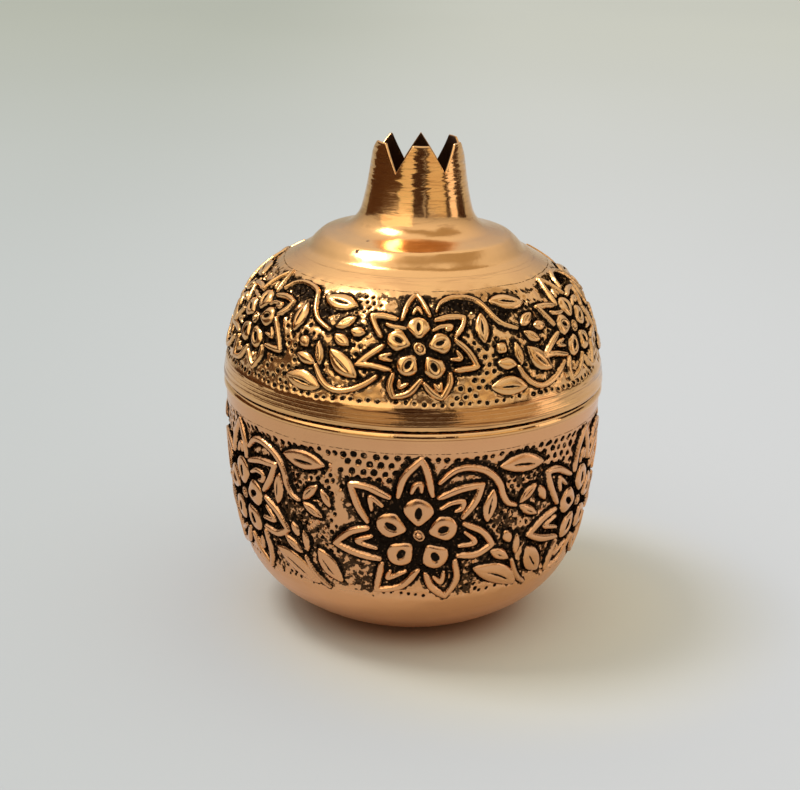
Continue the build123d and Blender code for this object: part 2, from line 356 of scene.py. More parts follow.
class Band:
    """Fields of one chased band on a grid of rings and columns.

    height is how far the sheet stands out, bare the distance outside the nearest raised work, wash
    the depth inside the blackened zones, and punch_and_seam_shade the depth inside eyes, slits and
    dots, to which the shell adds the painted shade of the seam between lid and bowl.
    """

    FAR = 9.0

    def __init__(self, rings, columns, flowers, radius):
        self.y = rings
        self.azimuths = columns
        self.flowers = flowers
        self.radius = radius
        shape = (len(rings), len(columns))
        self.height = np.zeros(shape)
        self.bare = np.full(shape, self.FAR)
        self.wash = np.full(shape, -self.FAR)
        self.punch_and_seam_shade = np.full(shape, -self.FAR)
        self.x = None
        self.warp = 0.0

    def use_flower(self, number, stretch=1.0):
        """Counts x from one flower on, in millimetres at the band's radius, wider or narrower by a share."""
        turn = (self.azimuths - self.flowers[number] + 180) % 360 - 180
        self.x = np.radians(turn) * self.radius / stretch
        self.warp = 1.7 * number

    def window(self, low, high, margin=2.0):
        """The part of the grid round a box, with its x and y, slightly warped as hand work is."""
        columns = np.flatnonzero((self.x > low[0] - margin) & (self.x < high[0] + margin))
        rings = np.flatnonzero((self.y > low[1] - margin) & (self.y < high[1] + margin))
        x, y = np.meshgrid(self.x[columns], self.y[rings])
        bent_x = x + 0.30 * np.sin(0.21 * y + 2.3 * self.warp) + 0.12 * np.sin(0.55 * y + self.warp)
        bent_y = y + 0.30 * np.sin(0.17 * x + 1.3 * self.warp) + 0.12 * np.sin(0.47 * x + 3.1 * self.warp)
        return np.ix_(rings, columns), bent_x, bent_y

    def raise_to(self, place, height, outside):
        """Lays one raised piece over the fields: the higher height and the shorter distance stay."""
        self.height[place] = np.maximum(self.height[place], height)
        self.bare[place] = np.minimum(self.bare[place], outside)

    def ridge(self, points, width, height=1.0, taper=0.35):
        """A rounded ridge along a line, thinner at both ends.

        The distance to the line is the least over its short straight pieces.  The section is a
        dome a little flattened at its top.
        """
        line = curve_through(points)
        place, x, y = self.window(line.min(0), line.max(0))
        nearest = np.full(x.shape, np.inf)
        share = np.zeros(x.shape)
        pieces = len(line) - 1
        for number, (start, end) in enumerate(zip(line, line[1:])):
            run = end - start
            t = np.clip(((x - start[0]) * run[0] + (y - start[1]) * run[1]) / (run @ run + 1e-12), 0, 1)
            away = np.hypot(x - start[0] - t * run[0], y - start[1] - t * run[1])
            closer = away < nearest
            nearest = np.where(closer, away, nearest)
            share = np.where(closer, (number + t) / pieces, share)
        half = width / 2 * (1 - taper * (2 * share - 1) ** 4)
        self.raise_to(place, height * dome((nearest / half) ** 1.4), nearest - half)

    def leaf(self, stalk, tip, width, bend=0.0, slit=0.5):
        """A pointed leaf whose half width is a power of the sine along it, with a slit along its rib.

        Its rib bows sideways by bend times the sine.
        """
        stalk, tip = np.array(stalk, float), np.array(tip, float)
        run = tip - stalk
        length = np.linalg.norm(run)
        along, across = run / length, np.array([-run[1], run[0]]) / length
        reach = width + abs(bend)
        place, x, y = self.window(np.minimum(stalk, tip) - reach, np.maximum(stalk, tip) + reach, 1.0)
        t = ((x - stalk[0]) * along[0] + (y - stalk[1]) * along[1]) / length
        n = (x - stalk[0]) * across[0] + (y - stalk[1]) * across[1]
        inside = np.clip(t, 0, 1)
        n = n - bend * np.sin(math.pi * inside)
        half = width / 2 * np.sin(math.pi * inside) ** 0.75 + 1e-6
        beyond = length * np.maximum(np.maximum(-t, t - 1), 0)
        outside = np.hypot(np.maximum(np.abs(n) - half, 0), beyond)
        within = np.minimum(half - np.abs(n), 0.7 * length * np.minimum(inside, 1 - inside))
        distance = np.where(outside > 0, outside, -within)
        body = dome(1 + distance / (width / 2) * 0.9)
        if slit > 0:
            open_half = slit / 2 * np.sin(math.pi * np.clip((t - 0.24) / 0.5, 0, 1)) ** 0.6
            cut = open_half - np.abs(n - 0.06 * width)
            cut = np.where(open_half > 0, cut, -0.6)
            self.punch_and_seam_shade[place] = np.maximum(self.punch_and_seam_shade[place], cut)
            body = body - 0.45 * smooth_step(cut, -0.25, 0.25) * (body > 0)
        self.raise_to(place, np.maximum(body, 0), distance)

    def petal(self, middle, length, width, eye, tilt, height=1.15):
        """A domed drop with its point to the flower's middle, and an eye sunk in it.

        In polar form round the petal's middle, the radius is that of an ellipse, drawn in to a point
        towards the flower's middle.
        """
        middle = np.array(middle, float)
        reach = max(length, width)
        place, x, y = self.window(middle - reach, middle + reach, 1.0)
        outward = math.atan2(middle[1], middle[0])
        dx, dy = x - middle[0], y - middle[1]
        along = dx * math.cos(outward) + dy * math.sin(outward)
        across = -dx * math.sin(outward) + dy * math.cos(outward)
        narrowing = 1 - 0.42 * smooth_step(-along / length, -0.05, 0.5)
        size = np.hypot(along / (length / 2), across / (width / 2 * narrowing))
        distance = (size - 1) * min(length, width) / 2
        body = height * (1 - np.clip(size, 0, 1) ** 2.3) ** 0.62
        turn = outward + math.radians(tilt)
        eye_along = dx * math.cos(turn) + dy * math.sin(turn)
        eye_across = -dx * math.sin(turn) + dy * math.cos(turn)
        eye_size = np.hypot(eye_along / (eye[0] / 2), eye_across / (eye[1] / 2))
        cut = (1 - eye_size) * min(eye) / 2
        self.punch_and_seam_shade[place] = np.maximum(self.punch_and_seam_shade[place], cut)
        body = body - 0.7 * height * smooth_step(cut, -0.5, 0.35) * (body > 0)
        self.raise_to(place, np.maximum(body, 0), distance)

    def knob(self, middle, size, height):
        """A small round boss."""
        middle = np.array(middle, float)
        place, x, y = self.window(middle - size, middle + size, 0.5)
        away = np.hypot(x - middle[0], y - middle[1])
        self.raise_to(place, height * dome(away / (size / 2)), away - size / 2)

    def darken(self, corners, margin=0.0, most=9.0):
        """Blackens the ground inside a convex run of corners, anticlockwise, in spots where most is low."""
        corners = np.array(corners, float)
        place, x, y = self.window(corners.min(0), corners.max(0), 1.5)
        depth = np.full(x.shape, np.inf)
        for start, end in zip(corners, np.roll(corners, -1, axis=0)):
            run = (end - start) / np.linalg.norm(end - start)
            depth = np.minimum(depth, run[0] * (y - start[1]) - run[1] * (x - start[0]))
        self.wash[place] = np.maximum(self.wash[place], np.minimum(depth + margin, most))

    def blacken_disc(self, middle, radius):
        """Blackens the ground inside a circle."""
        middle = np.array(middle, float)
        place, x, y = self.window(middle - radius, middle + radius, 1.5)
        depth = radius - np.hypot(x - middle[0], y - middle[1])
        self.wash[place] = np.maximum(self.wash[place], depth)

    def dots(self, seed, low, high, pitch, size, chance, rows=0.82):
        """Punched dots in staggered rows inside a box, a little uneven, where no raised work lies."""
        draw = np.random.default_rng(seed)
        for row, y in enumerate(np.arange(low[1], high[1] + 1e-6, rows * pitch)):
            shift = 0.5 * pitch * (row % 2)
            for x in np.arange(low[0] + shift, high[0] + 1e-6, pitch):
                middle = np.array([x, y]) + draw.normal(0, 0.07 * pitch, 2)
                radius = size / 2 * draw.uniform(0.85, 1.12)
                if draw.uniform() < chance:
                    self.dot(middle, radius)

    def dot(self, middle, radius):
        """One punched dot: a round pit, deepest in its middle, black inside."""
        place, x, y = self.window(middle - radius, middle + radius, 0.6)
        away = np.hypot(x - middle[0], y - middle[1])
        clear = smooth_step(self.bare[place], 0.1, 0.7)
        depth = radius - away
        self.punch_and_seam_shade[place] = np.maximum(self.punch_and_seam_shade[place], np.where(clear > 0.5, depth, -self.FAR))
        self.height[place] -= 0.55 * clear * smooth_step(depth, -0.25, 0.45)


def dome(ratio):
    """Height of a dome over its middle: the root of one less the square of the ratio."""
    return np.sqrt(np.clip(1 - np.clip(ratio, 0, None) ** 2, 0, 1))


def smooth_step(value, low, high):
    """Rises from 0 at low to 1 at high along a cubic that is level at both ends."""
    t = np.clip((value - low) / (high - low), 0, 1)
    return t * t * (3 - 2 * t)


def grain(shape, reach, seed):
    """Even noise of about unit size on a grid that closes round its columns, smoothed over that many cells.

    White noise times a bell in its spectrum.
    """
    draw = np.random.default_rng(seed).normal(size=shape)
    rows = np.fft.fftfreq(shape[0])[:, None]
    columns = np.fft.rfftfreq(shape[1])[None, :]
    bell = np.exp(-2 * (math.pi * reach) ** 2 * (rows**2 + columns**2))
    field = np.fft.irfft2(np.fft.rfft2(draw) * bell, s=shape)
    return field / field.std()


# the flowers and scrolls, as they are drawn on the two bands


def draw_flower(band, petals, sepals, heart, line):
    """Five petals round a bead inside a ring, in a star of pointed sepals, on a black ground."""
    band.blacken_disc((0, 0), heart)
    bead = (0, -0.2)
    band.knob(bead, 1.4, 0.9)
    turns = np.linspace(0, 2 * math.pi, 9)
    ring = np.stack([bead[0] + 1.25 * np.cos(turns), bead[1] + 1.25 * np.sin(turns)], axis=1)
    band.ridge(ring, 0.4, 0.35, 0)
    for middle, length, width, eye, tilt in petals:
        band.petal(middle, length, width, eye, tilt)
    for tip, left, right, nested in sepals:
        band.darken([tip, left[-1], right[-1]], 0.2)
        band.ridge([tip, *left], line)
        band.ridge([tip, *right], line)
        band.ridge(nested, 0.7 * line, 0.75)


# the flower: petals with middle, length, width, eye and tilt, and sepals with tip, the rest of the
# left and right edges, and the line nested inside
BOWL_PETALS = (
    ((0.0, 6.2), 7.4, 7.5, (3.3, 1.9), 0),
    ((6.3, 1.9), 7.3, 6.9, (3.1, 1.9), 4),
    ((4.1, -5.8), 7.3, 7.0, (3.0, 2.1), -6),
    ((-4.7, -5.6), 7.3, 7.0, (3.1, 2.1), 8),
    ((-6.8, 2.1), 7.6, 6.9, (3.6, 1.8), -14),
)

BOWL_SEPALS = (
    ((-0.2, 20.6), ((-3.7, 15.8), (-5.2, 10.2)), ((2.2, 15.6), (3.3, 11.2)),
     ((-1.9, 11.4), (-0.9, 13.6), (0.4, 13.9), (0.6, 12.0))),
    ((16.2, 13.4), ((10.5, 12.5), (5.0, 10.6)), ((14.4, 9.0), (11.4, 4.8)),
     ((5.6, 7.6), (8.2, 8.9), (11.2, 9.0), (10.9, 7.2), (9.4, 6.6))),
    ((19.6, -4.0), ((16.4, 0.4), (11.9, 2.9)), ((15.3, -6.1), (10.2, -6.0)),
     ((12.1, 0.4), (14.6, -2.5), (10.3, -3.3))),
    ((8.4, -18.8), ((3.9, -15.2), (1.9, -11.2)), ((10.5, -13.4), (9.6, -7.5)),
     ((4.1, -12.0), (6.3, -13.8), (6.8, -10.6))),
    ((-11.2, -17.3), ((-10.5, -12.8), (-9.6, -8.8)), ((-4.5, -15.6), (-0.1, -10.2)),
     ((-7.5, -11.0), (-8.0, -13.2), (-3.4, -10.8))),
    ((-22.4, -3.9), ((-17.8, -0.6), (-12.9, 1.1)), ((-16.4, -6.5), (-10.2, -7.4)),
     ((-12.2, -1.1), (-16.2, -3.0), (-11.2, -4.4))),
    ((-17.5, 12.7), ((-12.6, 12.2), (-7.4, 9.9)), ((-15.6, 7.4), (-12.8, 2.9)),
     ((-9.2, 7.5), (-12.2, 9.6), (-11.8, 6.2))),
)


# the scroll between two flowers: stems with their widths, leaves from stalk to tip with width,
# bend and slit, and the blackened ground with its margin and its most
BOWL_STEMS = (
    (((5, 14.6), (7, 16.6), (9.2, 17.8), (12.4, 18.1), (16, 17.1), (19, 14.9), (21, 12.2), (22, 9.2),
     (23.7, 6.7), (25.9, 5.7)), 1.7),
    (((26.6, -10.3), (28.4, -14.0), (31.0, -17.0), (33.8, -19.0)), 1.3),
)

BOWL_LEAVES = (
    ((34.2, 16.0), (20.3, 17.2), 4.9, -0.3, 0.75),
    ((18.0, 2.6), (19.2, 11.4), 3.6, 0, 0.6),
    ((27.4, 6.0), (32.4, 10.4), 2.8, 0.2, 0.35),
    ((33.4, 9.6), (36.2, 5.0), 2.3, 0, 0),
    ((33.7, 1.7), (27.3, 5.3), 2.4, 0, 0.3),
    ((24.8, -4.9), (23.3, -1.1), 2.6, 0, 0),
    ((25.4, -9.7), (19.3, -5.9), 2.8, 0, 0.3),
    ((27.4, -8.8), (27.0, -2.6), 2.1, 0, 0),
    ((30.4, -18.4), (14.8, -10.2), 5.6, -0.5, 0.6),
    ((38.2, -16.4), (31.0, -7.4), 5.4, 0.4, 0.55),
)

BOWL_DARK = (
    (((6, 12.6), (16.5, 13.8), (21, 10.5), (21.5, 12.5), (18, 16.5), (12, 18), (7, 16.8)), 0.4),
    (((12, -9), (21, -9), (27, -4), (27, 6), (19, 11), (12, 5)), 0.3, 0.35),
    (((9, -17), (14, -19), (18, -12), (13, -7), (10, -9)), 0.3, 0.15),
    (((-24, -16), (-12, -19), (-11, -9), (-20, -6)), 0.0, 0.4),
    (((-20.5, 15), (-20, 8), (-16.5, 1), (-13, 1.5), (-15.5, 8), (-17, 14)), 0.2, 0.5),
    (((12, -8.5), (20, -8.5), (27.5, -12), (29, -15), (31, -18), (27, -14), (16, -9.5)), 0.1),
    (((26.5, -5), (31, -6), (30.5, -12), (34, -18.5), (29, -16)), 0.4),
    (((20.5, 12.5), (22.5, 8), (27, 7), (31, 11), (33.5, 13.5), (24, 14)), 0.0, 0.0),
    (((27, -8), (33, -8), (36, 4), (33, 10), (27, 8)), 0.0, 0.2),
)


# punched dots of one flower's stretch: corners of a box, pitch, size, share that is struck, rows
BOWL_DOTS = (
    ((-19.8, 12.0), (-2.4, 20.6), 2.75, 1.75, 0.99, 0.76),
    ((-1, 20.2), (35, 20.6), 2.4, 1.5, 0.97),
    ((13, -8), (26.5, 9.5), 2.1, 1.3, 0.7),
    ((-9, -18.4), (25, -18.1), 2.3, 1.0, 0.85),
    ((20.5, 7.0), (34.5, 14.5), 2.1, 1.3, 0.85),
    ((11, -17.5), (20, -9.0), 2.1, 1.2, 0.75),
    ((26, -7.5), (35.5, 7.5), 2.2, 1.2, 0.6),
)


LID_PETALS = (
    ((0.0, 5.1), 5.4, 5.9, (2.6, 1.2), 0),
    ((5.1, 1.4), 5.5, 5.2, (2.5, 1.2), 4),
    ((3.1, -4.4), 5.5, 5.0, (2.6, 1.5), -6),
    ((-3.0, -4.4), 5.4, 5.0, (2.5, 1.4), 8),
    ((-5.0, 1.4), 5.7, 5.2, (2.5, 1.2), -12),
)

LID_SEPALS = (
    ((-0.9, 15.2), ((-3.3, 11.2), (-4.5, 6.8)), ((1.3, 12.0), (2.9, 8.5)),
     ((-1.7, 8.5), (-0.4, 10.4), (0.7, 8.9))),
    ((12.4, 7.8), ((8.2, 8.1), (4.4, 7.4)), ((11.4, 5.3), (9.4, 3.0)),
     ((3.7, 4.6), (5.6, 5.6), (8.4, 5.7), (8.2, 4.9), (7.0, 4.8))),
    ((13.7, -4.8), ((11.7, -0.9), (9.2, 1.9)), ((11.0, -5.1), (8.2, -5.3)),
     ((9.0, -0.8), (9.7, -2.6), (7.3, -2.6))),
    ((4.9, -12.0), ((2.8, -10.6), (1.0, -8.5)), ((6.8, -8.6), (6.9, -6.0)),
     ((3.4, -8.6), (4.4, -9.9), (4.8, -8.3))),
    ((-6.1, -12.4), ((-6.9, -9.6), (-6.4, -6.8)), ((-2.6, -11.2), (0.2, -7.6)),
     ((-4.8, -8.3), (-4.6, -9.9), (-2.9, -9.0))),
    ((-15.2, -5.1), ((-12.4, -2.6), (-8.9, 0.0)), ((-11.2, -5.0), (-7.2, -5.8)),
     ((-7.2, -1.9), (-9.6, -2.8), (-7.1, -3.6))),
    ((-12.9, 7.5), ((-9.2, 7.6), (-5.9, 6.9)), ((-11.2, 4.9), (-9.4, 2.3)),
     ((-8.4, 5.5), (-6.6, 4.9), (-3.4, 4.5))),
)


LID_STEMS = (
    (((4.8, 10.0), (6.4, 12.3), (9.2, 13.7), (12.5, 14.0), (15.6, 13.4), (17.9, 11.9), (19.4, 9.4),
     (20.8, 6.8), (22.7, 4.7), (26.5, 2.9)), 1.3),
    (((24.4, -6.5), (25.9, -9.0), (28.0, -11.0), (30.8, -12.0), (34.0, -11.4), (37.0, -9.6),
     (39.4, -7.4)), 1.35),
)

LID_LEAVES = (
    ((32.4, 9.5), (21.2, 11.4), 4.6, -0.2, 0.8),
    ((16.5, 0.8), (17.1, 8.7), 3.7, 0, 0.6),
    ((28.2, 3.6), (33.0, 6.4), 2.7, 0, 0.2),
    ((32.2, 2.9), (36.2, 2.5), 2.5, 0, 0),
    ((32.6, -0.9), (28.3, 1.9), 2.6, 0, 0.2),
    ((21.6, -2.4), (19.6, 0.0), 2.8, 0, 0),
    ((24.0, -6.0), (18.8, -4.4), 2.8, 0, 0),
    ((25.4, -6.2), (24.7, -0.4), 2.2, 0, 0.2),
    ((34.7, -8.6), (27.9, -1.9), 4.4, 0.3, 0.5),
    ((26.4, -11.6), (16.7, -10.0), 4.6, -0.2, 0.6),
)

LID_DARK = (
    (((5, 10), (8, 9.4), (14.5, 8.5), (18.5, 10.3), (16.5, 13.4), (12.4, 14.4), (8, 13.8)), 0.3),
    (((19.5, 7.5), (24, 3.6), (28, 6.4), (31, 8.6), (21, 10.2)), -0.2),
    (((25.5, -8.5), (28, -4.4), (34.5, -8.6), (33.0, -11.6), (29, -11.5)), 0.2),
    (((-6.5, 9), (-4, 8.5), (-1, 14.8), (-6.5, 14.8)), 0.0),
    (((-1.5, 13), (3, 11), (6, 14.4), (5, 15.0), (-1.5, 15.0)), 0.2),
    (((14, 13.2), (22, 11.5), (33, 12.0), (33, 14.6), (14, 14.6)), -0.8),
    (((-12, 12.6), (-7, 12.6), (-7, 14.0), (-12, 14.0)), -0.2),
)


LID_DOTS = (
    ((8.5, -12.0), (21.5, 6.5), 2.1, 1.3, 0.9, 0.9),
    ((19.5, -8.5), (38.5, 2.5), 2.1, 1.25, 0.7, 0.9),
    ((-20, -13.7), (31, -13.7), 2.1, 1.15, 0.96),
    ((-19.5, 8.5), (-12.0, 14.0), 2.0, 1.1, 0.75),
    ((33, 4.5), (40, 13.5), 2.1, 1.0, 0.7),
)


def draw_scroll(band, stems, leaves, dark):
    """The stems, leaves and buds between two flowers, on a worked ground."""
    for points, width in stems:
        band.ridge(points, width)
    for leaf in leaves:
        band.leaf(*leaf)
    for zone in dark:
        band.darken(*zone)


def draw_band(band, flower, scroll, room, dots, heart, line, ring, top, seed):
    """All flowers and scrolls of one band, then the black rings round them and the dots between."""
    numbers = range(len(band.flowers))
    for number in numbers:
        band.use_flower(number)
        draw_flower(band, *flower, heart, line)
        band.use_flower(number, room[number])
        draw_scroll(band, *scroll)
    rim = ring * (0.45 + 0.55 * smooth_step(band.y, band.y[0] + 3, band.y[0] + 9))[:, None]
    band.wash = np.maximum(band.wash, 2.4 * (rim - band.bare))
    band.wash = np.minimum(band.wash, 3.0 * (top - band.y)[:, None])
    edge = smooth_step(band.y, band.y[0] + 0.8, band.y[0] + 3)
    edge = edge * (1 - smooth_step(band.y, top - 3.5, top - 0.5))
    rough = grain(band.height.shape, 1.1, seed)
    slow = grain(band.height.shape, 4.0, seed + 1)
    worked = smooth_step(band.wash + 0.5 * slow, -1.2, 0.3) * smooth_step(band.bare, 0.0, 0.5)
    band.height += worked * (0.20 * rough - 0.10) * edge[:, None]
    for number in numbers:
        band.use_flower(number)
        for place, stretch in enumerate(dots):
            band.dots(seed + 100 + 10 * number + place, *stretch)
    wavy = grain(band.height.shape, 2.4, seed + 2)
    band.height += 0.05 * slow + 0.10 * wavy * smooth_step(band.bare, 0.1, 0.8) * edge[:, None]


def beat_in(band, foot, head):
    """Sinks the ground between the raised work, with a slope at the band's foot and one at its head."""
    sizes = scene_sizes()
    sink = smooth_step(band.y, *foot) * (1 - smooth_step(band.y, *head))
    band.height -= sink[:, None] * sizes.sunk / sizes.relief * smooth_step(band.bare, -0.2, 0.6)


# shells of revolution


def ring_points(radius, height, azimuths):
    """Points in metres at a radius and height on each azimuth."""
    angle = np.radians(azimuths)
    return np.stack([radius * np.sin(angle), -radius * np.cos(angle), height + 0 * angle], axis=-1) / MM


def surface_normals(points, azimuths):
    """Unit normals of a grid of rings that closes round its columns: the cross product of its two slopes.

    At a pole, where the columns meet, the slope along the azimuth is the tangent of the circle.
    """
    around = np.roll(points, -1, axis=1) - np.roll(points, 1, axis=1)
    tangent = ring_points(0, 0, azimuths) + np.stack(
        [np.cos(np.radians(azimuths)), np.sin(np.radians(azimuths)), 0 * azimuths], axis=-1
    )
    flat = np.linalg.norm(around, axis=-1, keepdims=True) < 1e-9
    around = np.where(flat, tangent[None], around)
    up = np.gradient(points, axis=0)
    normals = np.cross(around, up)
    return normals / np.maximum(np.linalg.norm(normals, axis=-1, keepdims=True), 1e-20)


def write_mesh(name, points, faces, fields=None, normals=None, sharp=None):
    """Puts points and faces into a new mesh object at the origin, with smooth shading and named fields."""
    mesh = bpy.data.meshes.new(name)
    sizes = np.concatenate([np.full(len(f), f.shape[1]) for f in faces])
    corners = np.concatenate([f.reshape(-1) for f in faces])
    mesh.vertices.add(len(points))
    mesh.vertices.foreach_set("co", points.astype(np.float32).reshape(-1))
    mesh.loops.add(len(corners))
    mesh.loops.foreach_set("vertex_index", corners.astype(np.int32))
    mesh.polygons.add(len(sizes))
    mesh.polygons.foreach_set("loop_start", np.concatenate([[0], np.cumsum(sizes)[:-1]]).astype(np.int32))
    mesh.polygons.foreach_set("use_smooth", np.ones(len(sizes), bool))
    mesh.update(calc_edges=True)
    for key, values in (fields or {}).items():
        mesh.attributes.new(key, "FLOAT", "POINT").data.foreach_set("value", values.astype(np.float32))
    if sharp is not None:
        mesh.set_sharp_from_angle(angle=sharp)
    if normals is not None:
        mesh.normals_split_custom_set_from_vertices(normals.astype(np.float32))
    made = bpy.data.objects.new(name, mesh)
    bpy.context.scene.collection.objects.link(made)
    return made


def sector(name, points, normals, fields, first, last):
    """One closed sector of a shell whose first and last rings are poles.

    Quads join the rings, fans close the poles, and a flat wall closes each cut.
    """
    rings = points.shape[0]
    columns = np.arange(first, last + 1) % points.shape[1]
    count = len(columns)
    inner = rings - 2
    grid = 1 + np.arange(inner * count).reshape(inner, count)
    pole_in, pole_out = 0, inner * count + 1
    quads = np.stack([grid[:-1, :-1], grid[:-1, 1:], grid[1:, 1:], grid[1:, :-1]], axis=-1).reshape(-1, 4)
    start = np.stack([np.full(count - 1, pole_in), grid[0, 1:], grid[0, :-1]], axis=-1)
    end = np.stack([grid[-1, :-1], grid[-1, 1:], np.full(count - 1, pole_out)], axis=-1)
    wall = np.concatenate([[pole_in], grid[:, 0], [pole_out]])[None]
    far_wall = np.concatenate([[pole_in], grid[:, -1], [pole_out]])[None, ::-1]

    def gather(values):
        middle = values[1:-1][:, columns].reshape(-1, *values.shape[2:])
        return np.concatenate([values[:1, 0], middle, values[-1:, 0]])

    return write_mesh(
        name,
        gather(points),
        [quads, start, end, wall, far_wall],
        {key: gather(values) for key, values in fields.items()},
        gather(normals),
    )


def stations_between(*stops):
    """Arc lengths from stop to stop, given as (stop, steps to the next)."""
    parts = []
    for (start, steps), (end, _) in zip(stops, stops[1:]):
        parts.append(np.linspace(start, end, steps, endpoint=False))
    parts.append([stops[-1][0]])
    return np.concatenate(parts)


def plain_fields(shape, inside=0.0):
    """The fields that the finish reads, on sheet that isn't chased."""
    return {
        "bare": np.zeros(shape),
        "wash": np.full(shape, -Band.FAR),
        "punch_and_seam_shade": np.full(shape, -Band.FAR),
        "inside": np.full(shape, inside),
    }


def shell(piece, outline, outer, inner, band_rings, band, marks, outer_first):
    """A sheet of revolution in three closed sectors.

    The outer skin is the outline plus the tool's marks and the band's height along its normal.  The
    inner skin is the outline moved in by the sheet, and by half a millimetre more behind the band.
    band_rings is the slice of the outer stations that the band's fields cover.  The seam is painted
    black, as painted shade in the gap between lid and bowl, for a short reach over and under it,
    except on the level face of the shoulder.
    """
    count = len(band.azimuths)
    shape = (len(outer), count)
    lift = np.zeros(shape)
    lift[band_rings] += scene_sizes().relief * MM * band.height
    lift += marks[:, None]
    fields = plain_fields(shape)
    for key in ("bare", "wash", "punch_and_seam_shade"):
        fields[key][band_rings] = getattr(band, key)
    radius, height = outline.at(outer)
    out, up = outline.read(outer, outline.normals)
    # painted shade: black along the seam, in the gap between lid and bowl, for a short reach over and under
    # it
    reach = np.where(height > SEAM_HEIGHT, 0.55, 0.2)
    seam_shade = reach - np.abs(height - SEAM_HEIGHT) - Band.FAR * (np.abs(up) > 0.98)
    fields["punch_and_seam_shade"] = np.maximum(fields["punch_and_seam_shade"], seam_shade[:, None])
    outer_radius = np.minimum(radius[:, None] + out[:, None] * lift, WIDEST)
    outer_height = height[:, None] + up[:, None] * lift
    chased = np.zeros(len(outer))
    chased[band_rings] = 1.0
    inner_radius, inner_height = outline.at(inner, SHEET + 0.5 * np.interp(inner, outer, chased))
    skins = [
        (outer_radius, outer_height, fields),
        (
            np.maximum(np.repeat(inner_radius[:, None], count, axis=1), 0),
            np.repeat(inner_height[:, None], count, axis=1),
            plain_fields((len(inner), count), 1.0),
        ),
    ]
    if not outer_first:
        skins.reverse()
    radii, heights, skin_fields = zip(*skins)
    points = ring_points(np.concatenate(radii), np.concatenate(heights), band.azimuths[None, :])
    joined = {key: np.concatenate([part[key] for part in skin_fields]) for key in fields}
    normals = surface_normals(points, band.azimuths)
    third = count // 3
    return [
        sector(f"{piece}_shell_{side}", points, normals, joined, third * number, third * (number + 1))
        for number, side in enumerate(("right", "back", "front"))
    ]


def tool_marks(outline, stations, low, high):
    """Fine steps that the turning tool leaves between two heights: two waves of the height multiplied."""
    height = np.interp(stations, outline.along, outline.points[:, 1])
    between = smooth_step(height, low, low + 0.5) * (1 - smooth_step(height, high - 0.8, high))
    return between * 0.009 * np.sin(height * 9.3) * np.sin(height * 3.1 + 1)


# azimuths and heights of the flowers' middles, and the radius at which a drawing's width is true
BOWL_FLOWERS = (2.8, 64.0, 123.0, 181.0, 239.5, 298.0)
LID_FLOWERS = (1.84, 62.0, 121.0, 180.5, 240.0, 299.0)
BOWL_FLOWER_HEIGHT, LID_FLOWER_HEIGHT = 38.6, 86.2
BOWL_DRAWN_RADIUS, LID_DRAWN_RADIUS = 50.0, 46.03
FIRST_AZIMUTH = 60.0

# how wide each scroll is drawn, against the one on the right of the front
BOWL_ROOM = (1.0, 0.99, 1.0, 0.98, 1.0, 0.93)
LID_ROOM = (1.0, 0.99, 1.0, 1.0, 0.98, 1.02)


def column_azimuths():
    """Azimuths of the mesh columns of bowl and lid, with the sectors' cuts at 60, 180 and 300 degrees."""
    count = 3 * scene_sizes().columns
    return FIRST_AZIMUTH + np.arange(count) * 360.0 / count


def scene_sizes():
    """The sheet sizes set in the scene."""
    return bpy.context.scene.sugar_bowl_sheet


def build_bowl():
    """The bowl's dressed shell, with so many rings below the chased band and in it."""
    outline = bowl_outline()
    foot = outline.station(0.2, after=outline.along[np.argmin(outline.points[:, 1])])
    flower = outline.station(BOWL_FLOWER_HEIGHT, after=foot)
    low, high = flower - 21.5, flower + 22.0
    edge = outline.station(SEAM_HEIGHT - 2.3, after=flower)
    lip = outline.station(SEAM_HEIGHT - 0.01, after=flower)
    end = outline.length
    below, chased = 8 + 6 + 24, 156
    outer = stations_between((0, 8), (14, 6), (foot, 24), (low, chased), (high, 12), (edge, 24), (lip, 4),
                             (end - 0.12, 1), (end, 1))
    inner = stations_between((0, 6), (20, 4), (foot, 20), (end - 3, 5), (end - 0.12, 1))[::-1]
    rings = slice(below, below + chased + 1)
    band = Band(outer[rings] - flower, column_azimuths(), BOWL_FLOWERS, BOWL_DRAWN_RADIUS)
    draw_band(band, (BOWL_PETALS, BOWL_SEPALS), (BOWL_STEMS, BOWL_LEAVES, BOWL_DARK),
              BOWL_ROOM, BOWL_DOTS, heart=13.0, line=1.85, ring=1.4, top=21.2, seed=7)
    beat_in(band, (-20.5, -17.5), (19.5, 21.0))
    marks = tool_marks(outline, outer, 1.0, 14.0)
    return shell("bowl", outline, outer, inner, rings, band, marks, outer_first=True)


def build_lid():
    """The lid's dressed shell, with so many rings below the chased band and in it."""
    outline = lid_outline()
    flower = outline.station(LID_FLOWER_HEIGHT)
    low, high = flower - 15.6, flower + 16.6
    end = outline.length
    below, chased = 1 + 22 + 26, 118
    outer = stations_between((0, 1), (0.12, 22), (3.2, 26), (low, chased), (high, 12),
                             (end - 25, 12), (end, 1))
    inner = stations_between((0, 1), (0.12, 8), (3.2, 24), (end - 25, 8), (end, 1))[::-1]
    rings = slice(below, below + chased + 1)
    band = Band(outer[rings] - flower, column_azimuths(), LID_FLOWERS, LID_DRAWN_RADIUS)
    draw_band(band, (LID_PETALS, LID_SEPALS), (LID_STEMS, LID_LEAVES, LID_DARK),
              LID_ROOM, LID_DOTS, heart=9.8, line=1.45, ring=1.25, top=14.9, seed=57)
    beat_in(band, (-15.4, -13.0), (11.0, 16.5))
    marks = tool_marks(outline, outer, LID_SEAT + 0.9, LID_SEAT + 6.6)
    return shell("lid", outline, outer, inner, rings, band, marks, outer_first=False)


# crown

NOTCH_DEPTH = 7.3
NOTCHES = ((-27, 41), (35, 42), (95, 47), (155, 45), (198, 43), (256, 71))


